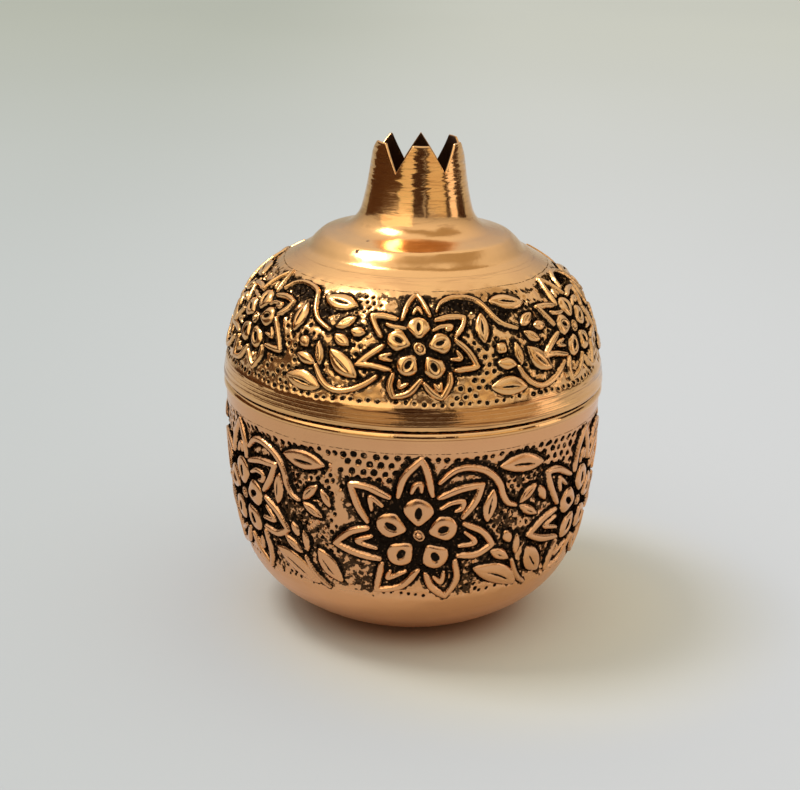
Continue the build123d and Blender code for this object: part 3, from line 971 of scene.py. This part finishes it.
def crown_columns(spacing=0.75):
    """Azimuths of the crown's columns, with one at each valley and at each corner of the teeth."""
    keys = []
    for valley, width in NOTCHES:
        keys += [valley - width / 2, valley, valley + width / 2]
    keys = sorted(key % 360 for key in keys)
    keys.append(keys[0] + 360)
    parts = [
        np.linspace(start, end, max(1, round((end - start) / spacing)), endpoint=False)
        for start, end in zip(keys, keys[1:])
    ]
    return np.concatenate(parts)


def crown_edge(azimuths):
    """Height of the cut rim at each azimuth: a V at each notch, and a slightly uneven top between."""
    edge = CROWN_TOP - 0.05 - 0.12 * (1 + np.sin(np.radians(azimuths) * 7 + 0.6)) / 2
    for valley, width in NOTCHES:
        turn = (azimuths - valley + 180) % 360 - 180
        inside = np.abs(turn) <= width / 2 + 1e-6
        across = np.sin(np.radians(np.abs(turn))) / math.sin(math.radians(width / 2))
        cut = CROWN_TOP - NOTCH_DEPTH * (1 - across ** 0.94)
        edge = np.where(inside, np.minimum(edge, cut), edge)
    return edge


def build_crown():
    """The crown: its outline up to the notched rim, over the edge and down inside to the foot."""
    outline = crown_outline()
    azimuths = crown_columns()
    edge = crown_edge(azimuths)
    heights = outline.points[:, 1]
    split = outline.station(CROWN_TOP - NOTCH_DEPTH - 1.5)
    tops = np.interp(edge, heights, outline.along)
    share = np.linspace(0, 1, 46)[:, None]
    teeth = split + share * (tops - CROWN_SHEET / 2 - split)[None]
    low = np.repeat(stations_between((0, 24), (6, 60), (split, 1))[:-1, None], len(azimuths), axis=1)
    outer = np.concatenate([low, teeth])
    foot = 1.2
    inner_low = np.repeat(stations_between((foot, 8), (6, 20), (split, 1))[:-1, None], len(azimuths), axis=1)
    inner_teeth = split + np.linspace(0, 1, 16)[:, None] * (tops - CROWN_SHEET / 2 - split)[None]
    inner = np.concatenate([inner_low, inner_teeth])[::-1]
    skins = []
    half = CROWN_SHEET / 2
    lip = [(tops[None] - half + half * math.sin(turn), half - half * math.cos(turn))
           for turn in np.radians([20, 40, 60, 80, 100, 120, 140, 160])]
    for stations, depth in ((outer, 0.0), *lip, (inner, CROWN_SHEET)):
        radius, height = outline.at(stations, depth)
        floor = np.minimum(cone_height(radius), cone_height(LID_TOP_RADIUS)) + 0.03 * (depth < 0.5)
        radius = np.maximum(radius, 0.5)
        skins.append((radius, np.maximum(height, floor), np.full(stations.shape, float(depth > 0.5))))
    radius, height, inside = (np.concatenate([skin[k] for skin in skins]) for k in range(3))
    wobble = 0.05 * np.sin(np.radians(azimuths) * 5 + 1)[None] * smooth_step(height, 112, 120)
    points = ring_points(radius + wobble, height, azimuths[None])
    rings, count = points.shape[:2]
    grid = np.arange(rings * count).reshape(rings, count)
    beside, above = np.roll(grid, -1, axis=1), np.roll(grid, -1, axis=0)
    corner = np.roll(above, -1, axis=1)
    quads = np.stack([grid, beside, corner, above], axis=-1).reshape(-1, 4)
    return write_mesh(
        "crown_shell", points.reshape(-1, 3), [quads], {"inside": inside.reshape(-1)}, sharp=math.radians(38)
    )


# finishes


class Nodes:
    """A node tree while it is put together, with a short call for each kind of step."""

    def __init__(self, tree):
        tree.nodes.clear()
        self.tree = tree

    def add(self, kind, inputs=None, **settings):
        """Adds a node, sets its own settings, and sets or links its inputs by name or number."""
        node = self.tree.nodes.new(kind)
        for key, value in settings.items():
            setattr(node, key, value)
        for key, value in (inputs or {}).items():
            self.give(node, key, value)
        return node

    def give(self, node, key, value):
        """Links a value to a node's input, or sets it there."""
        if isinstance(value, bpy.types.NodeSocket):
            self.tree.links.new(value, node.inputs[key])
        else:
            node.inputs[key].default_value = value

    def maths(self, operation, first, second):
        """Two numbers joined by an operation."""
        return self.add("ShaderNodeMath", {0: first, 1: second}, operation=operation).outputs[0]

    def plus(self, first, second):
        """The sum of two numbers."""
        return self.maths("ADD", first, second)

    def less(self, first, second):
        """The first number less the second."""
        return self.maths("SUBTRACT", first, second)

    def times(self, first, second):
        """The product of two numbers."""
        return self.maths("MULTIPLY", first, second)

    def most(self, first, second):
        """The larger of two numbers."""
        return self.maths("MAXIMUM", first, second)

    def ramp(self, value, low, high, start=0.0, end=1.0):
        """A smooth step of a value from low to high, mapped to start and end."""
        inputs = {"Value": value, "From Min": low, "From Max": high, "To Min": start, "To Max": end}
        return self.add("ShaderNodeMapRange", inputs, interpolation_type="SMOOTHSTEP").outputs[0]

    def between(self, value, low, high, soft):
        """One between two limits and zero beyond them, with soft edges."""
        rise = self.ramp(value, low - soft, low + soft)
        fall = self.ramp(value, high - soft, high + soft, 1.0, 0.0)
        return self.times(rise, fall)

    def mix(self, factor, first, second, blend="MIX"):
        """One colour laid over another."""
        inputs = {0: factor, 6: first, 7: second}
        return self.add("ShaderNodeMix", inputs, data_type="RGBA", blend_type=blend).outputs[2]

    def vector(self, operation, first, second=(0.0, 0.0, 0.0), part="Vector"):
        """Two vectors joined by an operation."""
        return self.add("ShaderNodeVectorMath", {0: first, 1: second}, operation=operation).outputs[part]


class Finish(Nodes):
    """A material of one shader, worked out from the place on the piece and from its fields."""

    def __init__(self, name):
        self.material = bpy.data.materials.new(name)
        self.material.use_nodes = True
        super().__init__(self.material.node_tree)
        self.shader = self.add("ShaderNodeBsdfPrincipled")
        self.add("ShaderNodeOutputMaterial", {"Surface": self.shader.outputs[0]})

    def set(self, key, value):
        """Links a value to one of the shader's inputs, or sets it there."""
        self.give(self.shader, key, value)

    @cached_property
    def position(self):
        """The place on the piece."""
        return self.add("ShaderNodeTexCoord").outputs["Object"]

    @cached_property
    def axes(self):
        """The place's X, Y and Z."""
        return self.add("ShaderNodeSeparateXYZ", {0: self.position}).outputs

    def field(self, name):
        """A named field of the mesh."""
        return self.add("ShaderNodeAttribute", attribute_name=name).outputs["Fac"]

    def noise(self, vector, scale, detail=2.0, roughness=0.5):
        """Even noise between 0 and 1."""
        inputs = {"Vector": vector, "Scale": scale, "Detail": detail, "Roughness": roughness}
        return self.add("ShaderNodeTexNoise", inputs).outputs["Fac"]

    def distance(self, place):
        """How far the point lies from a place."""
        return self.vector("DISTANCE", self.position, place, "Value")

    def rings(self, stretch):
        """Coordinates that change across the rings of a turned form and hardly along them."""
        flat = self.add("ShaderNodeCombineXYZ", {"X": self.axes["X"], "Y": self.axes["Y"]}).outputs[0]
        side = self.add("ShaderNodeSeparateXYZ", {0: self.vector("NORMALIZE", flat)}).outputs
        parts = {
            "X": self.plus(self.vector("LENGTH", flat, part="Value"), self.axes["Z"]),
            "Y": self.times(side["X"], stretch),
            "Z": self.times(side["Y"], stretch),
        }
        return self.add("ShaderNodeCombineXYZ", parts).outputs[0]

    def swung_normal(self, amount):
        """The surface's normal turned about the object's axis by an amount that differs from ring to ring."""
        back = self.times(self.axes["Y"], -1.0)
        around = self.add("ShaderNodeCombineXYZ", {"X": back, "Y": self.axes["X"]}).outputs[0]
        inputs = {0: self.vector("NORMALIZE", around), "Scale": amount}
        swing = self.add("ShaderNodeVectorMath", inputs, operation="SCALE").outputs[0]
        normal = self.add("ShaderNodeNewGeometry").outputs["Normal"]
        return self.vector("NORMALIZE", self.vector("ADD", normal, swing))

    def bump(self, height, distance, strength, normal=None):
        """A normal tilted by the slope of a height."""
        inputs = {"Height": height, "Distance": distance, "Strength": strength}
        if normal is not None:
            inputs["Normal"] = normal
        return self.add("ShaderNodeBump", inputs).outputs[0]


def opaque(colour):
    """A colour with full alpha."""
    return (*colour, 1.0)


# colours that lie over the copper, among them painted shade in the turning grooves, in the crease under the
# bead and inside the crown, and plain white
WHITE = (1.0, 1.0, 1.0, 1.0)
TARNISH = (0.70, 0.33, 0.15, 1.0)
TURNING_GROOVE_SHADE = (0.22, 0.07, 0.02, 1.0)
CREASE_SHADE = (0.20, 0.07, 0.02, 1.0)
STREAK = (0.82, 0.42, 0.16, 1.0)
NECK_GROOVE_SHADE = (0.40, 0.16, 0.05, 1.0)
NICK_BROWN = (0.05, 0.025, 0.015, 1.0)
CROWN_INSIDE_SHADE = (0.10, 0.045, 0.022, 1.0)
PATINA_TINT = (0.05, 0.04, 0.03, 1.0)

# heights between which the sheet's finish changes or differs
SATIN_BASE = (0.012, 0.030)
ROSE_TO_COPPER = (0.0628, 0.0650)
CREASE = (0.0638, 0.06415)
BEAD = (0.0638, 0.0662)
PLAIN_RIM = (0.0664, 0.0722)
CONE_FOOT = (0.0975, 0.0995)
NECK_FOOT = (0.1065, 0.1085)
SHOULDER_TO_NECK = (0.1075, 0.1095)
NECK_COMB = (0.1130, 0.1195)

# lines scribed round the form: height and half width
SCRIBED = ((0.0604, 0.0001), (0.0972, 0.00006))

# nicks in the crown's shoulder: where they are, and their radius
NICKS = (((-0.0148, -0.0212, 0.1037), 0.00068), ((-0.0122, -0.0171, 0.1054), 0.00042))

# round zones of painted light and shade on the floor: a warm painted glow of light from the copper round the
# bowl, then a dark red painted contact shadow under it; middle, where they start and stop to fade, and their
# tint
PAINTED_FLOOR_GLOW_AND_SHADOW = (
    ((0.026, -0.004, 0.0), 0.030, 0.088, (1.28, 1.18, 0.92, 1.0)),
    ((0.0, 0.0, 0.0), 0.022, 0.037, (0.62, 0.40, 0.28, 1.0)),
)


def scribed_line(look, height, width):
    """A thin dashed line scribed round the form at a height, a little wavy."""
    sway = look.ramp(look.noise(look.position, 90.0), 0.2, 0.8, -0.00015, 0.00015)
    away = look.maths("ABSOLUTE", look.less(look.plus(look.axes["Z"], sway), height), 0.0)
    dashes = look.ramp(look.noise(look.position, 900.0, 2.0, 0.6), 0.40, 0.56)
    return look.times(look.ramp(away, 0.4 * width, 1.6 * width, 0.85, 0.0), dashes)


def blackened(look):
    """How black the patina is: the washed ground, the punched pits and the scribed lines, worn in spots, with
    the painted shade of the seam between lid and bowl.
    """
    speckle = look.noise(look.position, 950.0, 3.0, 0.6)
    patches = look.noise(look.position, 720.0, 1.5)
    wash = look.field("wash")
    edge = look.plus(look.field("bare"), look.ramp(speckle, 0.3, 0.7, -0.07, 0.07))
    zone = look.plus(wash, look.ramp(patches, 0.25, 0.75, -1.3, 1.1))
    washed = look.times(look.ramp(zone, -0.25, 0.25), look.ramp(wash, -0.5, 1.5, 0.88, 1.0))
    # the punched pits, and the painted shade along the seam that the shell puts in the same field
    pit = look.plus(look.field("punch_and_seam_shade"), look.ramp(speckle, 0.3, 0.7, -0.08, 0.08))
    black = look.most(look.times(look.ramp(edge, -0.06, 0.10), washed), look.ramp(pit, -0.07, 0.09))
    for height, width in SCRIBED:
        black = look.most(black, scribed_line(look, height, width))
    glint = look.ramp(look.noise(look.position, 1500.0), 0.60, 0.70)
    worn = look.times(glint, look.ramp(wash, 0.6, 3.0, 0.5, 0.08))
    black = look.times(black, look.less(1.0, worn))
    return look.times(black, look.less(1.0, look.field("inside")))


def chased_copper():
    """Copper with fine turning lines and painted shade in their grooves and in the crease under the bead,
    blackened where the fields say, and tinned inside.
    """
    colours = bpy.context.scene.sugar_bowl_colours
    look = Finish("chased_sheet")
    height = look.axes["Z"]
    rings = look.rings(0.0006)
    lines = look.noise(rings, 2600.0, 3.0, 0.6)
    black = blackened(look)
    copper = look.mix(look.ramp(height, *ROSE_TO_COPPER), opaque(colours.rose), opaque(colours.copper))
    tarnish = look.ramp(look.noise(look.position, 60.0, 3.0, 0.6), 0.35, 0.8, 0.0, 0.35)
    copper = look.mix(tarnish, copper, TARNISH)
    rim = look.between(height, *PLAIN_RIM, 0.0004)
    cone = look.ramp(height, *CONE_FOOT, 0.0, 0.35)
    # painted shade: the turning grooves of the plain rim and the cone are darkened brown
    groove_shade = look.times(look.ramp(lines, 0.54, 0.62), look.most(rim, cone))
    copper = look.mix(look.times(groove_shade, 0.75), copper, TURNING_GROOVE_SHADE)
    # painted shade in the crease under the bead
    copper = look.mix(look.times(look.between(height, *CREASE, 0.00015), 0.7), copper, CREASE_SHADE)
    metal = look.mix(look.field("inside"), copper, opaque(colours.tin))
    look.set("Base Color", look.mix(black, metal, opaque(colours.black)))
    look.set("Specular Tint", look.mix(black, WHITE, PATINA_TINT))
    look.set("Metallic", 1.0)
    rough = look.ramp(height, *SATIN_BASE, 0.34, 0.20)
    rough = look.less(rough, look.times(look.between(height, *BEAD, 0.0002), 0.13))
    rough = look.less(rough, look.times(rim, 0.06))
    rough = look.plus(rough, look.ramp(look.noise(rings, 420.0), 0.2, 0.8, -0.04, 0.06))
    look.set("Roughness", look.plus(rough, look.times(black, 0.22)))
    swing = look.times(look.times(look.less(lines, 0.5), 0.5), rim)
    turning = look.bump(lines, 0.00002, 0.35, look.swung_normal(swing))
    dents = look.noise(look.position, 700.0, 3.0, 0.6)
    look.set("Normal", look.bump(dents, 0.00006, 0.5, turning))
    return look.material


def polished_copper():
    """Brighter copper with lathe rings, painted shade in their grooves on the neck, a few nicks, and painted
    shade inside the crown.
    """
    colours = bpy.context.scene.sugar_bowl_colours
    look = Finish("polished_sheet")
    height = look.axes["Z"]
    rings = look.rings(0.0008)
    lines = look.noise(rings, 2400.0, 3.0, 0.6)
    inside = look.field("inside")
    copper = look.mix(look.ramp(look.noise(rings, 300.0), 0.35, 0.75), opaque(colours.copper), STREAK)
    # painted shade in the lathe grooves of the neck
    groove_shade = look.times(look.ramp(lines, 0.52, 0.64), look.ramp(height, *NECK_FOOT))
    copper = look.mix(look.times(groove_shade, 0.35), copper, NECK_GROOVE_SHADE)
    specks = look.ramp(look.noise(look.position, 330.0, 2.0, 0.6), 0.765, 0.80)
    ragged = look.ramp(look.noise(look.position, 2600.0), 0.3, 0.7, -0.0002, 0.0002)
    for place, size in NICKS:
        away = look.plus(look.distance(place), ragged)
        specks = look.most(specks, look.ramp(away, 0.8 * size, 1.1 * size, 1.0, 0.0))
    copper = look.mix(specks, copper, NICK_BROWN)
    # painted shade: the inside of the crown is painted dark brown
    look.set("Base Color", look.mix(inside, copper, CROWN_INSIDE_SHADE))
    look.set("Metallic", 1.0)
    rough = look.plus(look.ramp(lines, 0.2, 0.8, 0.10, 0.18), look.times(inside, 0.3))
    look.set("Roughness", look.plus(rough, look.ramp(height, *SHOULDER_TO_NECK, 0.06, 0.0)))
    swing = look.times(look.less(look.noise(rings, 1700.0, 2.0, 0.6), 0.5), 0.42)
    swung = look.swung_normal(look.times(swing, look.ramp(height, *NECK_COMB, 0.2, 1.0)))
    waves = look.noise(look.position, 260.0)
    look.set("Normal", look.bump(waves, 0.00016, 0.5, look.bump(lines, 0.00004, 0.5, swung)))
    return look.material


def tinned_copper():
    """Grey tin with wiping marks, the copper showing through in spots."""
    colours = bpy.context.scene.sugar_bowl_colours
    look = Finish("tinned_sheet")
    worn = look.ramp(look.noise(look.position, 240.0, 4.0, 0.6), 0.62, 0.74)
    wipe = look.noise(look.rings(0.002), 900.0, 3.0, 0.6)
    look.set("Base Color", look.mix(worn, opaque(colours.tin), opaque(colours.copper)))
    look.set("Metallic", 1.0)
    look.set("Roughness", look.ramp(wipe, 0.2, 0.8, 0.28, 0.45))
    look.set("Normal", look.bump(wipe, 0.00003, 0.4))
    return look.material


def floor_paper(colour):
    """Pale paper, a little uneven, with painted shade that darkens it to the left, painted light that makes
    it lighter and warmer far off, a painted warm glow of light from the copper round the bowl and a painted
    contact shadow under it.
    """
    look = Finish("floor_paper")
    cloud = look.ramp(look.noise(look.position, 1.2), 0.3, 0.7)
    paper = look.mix(cloud, opaque(colour), opaque(0.97 * part for part in colour))
    # painted shade that darkens the paper to the left, and painted light that makes it lighter and warmer far
    # off
    dim, full = (0.77, 0.79, 0.775, 1.0), (0.962, 0.962, 0.965, 1.0)
    left = look.mix(look.ramp(look.axes["X"], -0.24, 0.14), dim, full)
    far = look.mix(look.ramp(look.axes["Y"], 0.1, 1.6), WHITE, (1.12, 1.11, 0.98, 1.0))
    tints = [left, far]
    # painted warm glow of light from the copper round the bowl, and painted contact shadow under it
    for middle, start, stop, tint in PAINTED_FLOOR_GLOW_AND_SHADOW:
        tints.append(look.mix(look.ramp(look.distance(middle), start, stop), tint, WHITE))
    for tint in tints:
        paper = look.mix(1.0, paper, tint, "MULTIPLY")
    look.set("Base Color", paper)
    look.set("Roughness", 0.75)
    look.set("Specular IOR Level", 0.0)
    return look.material


# stage

DARK_CARD = (0.05, 0.018, 0.007)
BROWN_CARD = (0.62, 0.50, 0.34)

# cards that the metal mirrors: azimuths, heights and colour, then the glow of a bright one, and the
# radius at the lower and upper edge of a leaning one
CARDS = {
    "front_flag": ((-10, 14), (0, 300), DARK_CARD),
    "front_low": ((14, 18.5), (0, 170), DARK_CARD),
    "front_edge": ((18.5, 25), (0, 300), DARK_CARD),
    "left_flag": ((-125, -40), (0, 235), (0.12, 0.05, 0.015)),
    "left_high": ((-80, -12), (255, 800), (1.0, 0.91, 0.73), 0.84),
    "left_low": ((-40, -10), (0, 120), (0.56, 0.42, 0.27)),
    "left_sheet": ((-40, -10), (120, 260), (0.90, 0.80, 0.56), 0.20),
    "right_low": ((25, 75), (0, 120), (0.60, 0.45, 0.29)),
    "right_sheet": ((25, 64), (120, 260), (0.90, 0.78, 0.54), 0.07),
    "right_flag": ((64, 75), (120, 270), DARK_CARD),
    "side_sheet": ((75, 92), (0, 260), (1.0, 0.92, 0.85), 0.5),
    "far_right_flag": ((92, 118), (95, 260), DARK_CARD),
    "top_flag": ((-50, 60), (930, 990), BROWN_CARD, 0.20, (400, 130)),
    "top_right_flag": ((60, 128), (780, 985), BROWN_CARD, 0.20, (620, 170)),
}


def make_camera(setup):
    """The camera at the photograph's angle, looking at the seam and then turned by pan, tilt and roll."""
    data = bpy.data.cameras.new("camera")
    data.lens = setup.lens
    data.sensor_width = 36.0
    data.clip_start = 0.01
    data.clip_end = 50.0
    camera = bpy.data.objects.new("camera", data)
    middle = Vector((0, 0, SEAM_HEIGHT / MM))
    back = Vector((0, -math.cos(setup.elevation), math.sin(setup.elevation)))
    turn = (-back).to_track_quat("-Z", "Y").to_matrix()
    turn = turn @ Matrix.Rotation(setup.pan, 3, "Y") @ Matrix.Rotation(-setup.tilt, 3, "X")
    turn = turn @ Matrix.Rotation(setup.roll, 3, "Z")
    camera.matrix_world = Matrix.Translation(middle + back * setup.distance) @ turn.to_4x4()
    bpy.context.scene.collection.objects.link(camera)
    bpy.context.scene.camera = camera


def make_lamp():
    """The key lamp, a square soft one that faces the middle of the object."""
    data = bpy.data.lights.new("key_lamp", "AREA")
    data.shape = "SQUARE"
    data.size = 0.4
    data.energy = 7.6
    data.color = (1.0, 0.98, 0.95)
    lamp = bpy.data.objects.new("key_lamp", data)
    place = Vector((-0.603, 0.021, 1.245))
    middle = Vector((0, 0, 0.06))
    lamp.location = place
    lamp.rotation_euler = (middle - place).to_track_quat("-Z", "Y").to_euler()
    bpy.context.scene.collection.objects.link(lamp)


def make_floor(setup):
    """A wide round floor, flat near the object and raised at its rim like a sweep of paper."""
    turns = np.linspace(0, 360, 97)[:-1]
    reach = np.linspace(0, 1, 40)
    radius = 6.0 * reach**1.5
    height = 0.9 * np.clip((radius - 3.2) / 2.8, 0, 1) ** 2
    points = ring_points(radius[:, None] * MM, height[:, None] * MM, turns[None])
    rings, count = points.shape[:2]
    grid = 1 + np.arange((rings - 1) * count).reshape(rings - 1, count)
    beside = np.roll(grid, -1, axis=1)
    quads = np.stack([grid[:-1], grid[1:], beside[1:], beside[:-1]], axis=-1).reshape(-1, 4)
    fan = np.stack([np.zeros(count, int), grid[0], beside[0]], axis=-1)
    flat = np.concatenate([points[:1, 0], points[1:].reshape(-1, 3)])
    floor = write_mesh("floor", flat, [quads, fan])
    floor.data.materials.append(floor_paper(setup.floor_colour))


def make_card(name, azimuths, heights, colour, glow=0.0, radii=(560, 560)):
    """A bent card round the object, which the metal mirrors and the camera doesn't see."""
    steps = 24
    turns = np.linspace(*azimuths, steps + 1)[None]
    points = ring_points(np.array(radii)[:, None], np.array(heights)[:, None], turns)
    corner = np.arange(steps)
    quads = np.stack([corner, corner + 1, corner + steps + 2, corner + steps + 1], axis=-1)
    card = write_mesh(name, points.reshape(-1, 3), [quads])
    look = Finish(name)
    look.set("Base Color", opaque(colour))
    look.set("Roughness", 0.9)
    look.set("Emission Color", opaque(colour))
    look.set("Emission Strength", glow)
    card.data.materials.append(look.material)
    card.visible_camera = False
    card.visible_diffuse = False
    card.visible_shadow = False


def make_world():
    """Even soft light from all round, a little stronger from above."""
    world = bpy.data.worlds.new("studio")
    bpy.context.scene.world = world
    world.use_nodes = True
    sky = Nodes(world.node_tree)
    direction = sky.add("ShaderNodeTexCoord").outputs["Generated"]
    up = sky.add("ShaderNodeSeparateXYZ", {0: direction}).outputs["Z"]
    light = sky.mix(sky.ramp(up, 0.0, 1.0), (0.40, 0.40, 0.38, 1.0), (1.0, 1.0, 0.97, 1.0))
    background = sky.add("ShaderNodeBackground", {"Color": light, "Strength": 1.0})
    sky.add("ShaderNodeOutputWorld", {"Surface": background.outputs[0]})


# operators


class SUGARBOWL_OT_stage(bpy.types.Operator):
    """Make the camera, the floor and the soft light"""

    bl_idname = "sugar_bowl.stage"
    bl_label = "Stage"

    def execute(self, context):
        setup = context.scene.sugar_bowl_studio
        make_camera(setup)
        make_floor(setup)
        make_world()
        make_lamp()
        for name, card in CARDS.items():
            make_card(name, *card)
        context.scene.view_settings.view_transform = "Standard"
        return {"FINISHED"}


class SUGARBOWL_OT_bowl(bpy.types.Operator):
    """Make the chased bowl"""

    bl_idname = "sugar_bowl.bowl"
    bl_label = "Bowl"

    def execute(self, context):
        material = bpy.data.materials.get("chased_sheet") or chased_copper()
        for piece in build_bowl():
            piece.data.materials.append(material)
            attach(piece, "bowl_body")
            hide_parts("bowl")
        return {"FINISHED"}


class SUGARBOWL_OT_collar(bpy.types.Operator):
    """Give the collar in the mouth its tinned finish"""

    bl_idname = "sugar_bowl.collar"
    bl_label = "Mouth collar"

    def execute(self, context):
        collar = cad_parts["mouth_collar"]
        collar.data.materials.clear()
        collar.data.materials.append(tinned_copper())
        return {"FINISHED"}


class SUGARBOWL_OT_lid(bpy.types.Operator):
    """Make the chased lid"""

    bl_idname = "sugar_bowl.lid"
    bl_label = "Lid"

    def execute(self, context):
        material = bpy.data.materials.get("chased_sheet") or chased_copper()
        for piece in build_lid():
            piece.data.materials.append(material)
            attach(piece, "lid_body")
            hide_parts("lid")
        return {"FINISHED"}


class SUGARBOWL_OT_crown(bpy.types.Operator):
    """Make the toothed crown"""

    bl_idname = "sugar_bowl.crown"
    bl_label = "Crown"

    def execute(self, context):
        piece = build_crown()
        piece.data.materials.append(polished_copper())
        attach(piece, "lid_body")
        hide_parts("crown")
        return {"FINISHED"}


class SUGARBOWL_PT_panel(bpy.types.Panel):
    """Sizes, colours and steps of the sugar bowl"""

    bl_label = "Sugar Bowl"
    bl_idname = "SUGARBOWL_PT_panel"
    bl_space_type = "VIEW_3D"
    bl_region_type = "UI"
    bl_category = "Sugar Bowl"

    def draw(self, context):
        scene = context.scene
        for group in (scene.sugar_bowl_sheet, scene.sugar_bowl_colours, scene.sugar_bowl_studio):
            for key in group.__annotations__:
                self.layout.prop(group, key)
        for operator in OPERATORS:
            self.layout.operator(operator.bl_idname)


OPERATORS = (
    SUGARBOWL_OT_stage,
    SUGARBOWL_OT_bowl,
    SUGARBOWL_OT_collar,
    SUGARBOWL_OT_lid,
    SUGARBOWL_OT_crown,
)
GROUPS = {
    "sugar_bowl_sheet": SheetSizes,
    "sugar_bowl_colours": MetalColours,
    "sugar_bowl_studio": StudioSetup,
}


def register():
    """Registers the classes and hangs the settings on the scene."""
    for made in (*GROUPS.values(), *OPERATORS, SUGARBOWL_PT_panel):
        bpy.utils.register_class(made)
    for key, group in GROUPS.items():
        setattr(bpy.types.Scene, key, bpy.props.PointerProperty(type=group))


def unregister():
    """Takes the settings and classes away again."""
    for key in GROUPS:
        delattr(bpy.types.Scene, key)
    for made in (SUGARBOWL_PT_panel, *reversed(OPERATORS), *reversed(GROUPS.values())):
        bpy.utils.unregister_class(made)


def main():
    """Makes the stage and every piece."""
    register()
    bpy.ops.sugar_bowl.stage()
    bpy.ops.sugar_bowl.bowl()
    bpy.ops.sugar_bowl.collar()
    bpy.ops.sugar_bowl.lid()
    bpy.ops.sugar_bowl.crown()


if __name__ == "__main__":
    main()
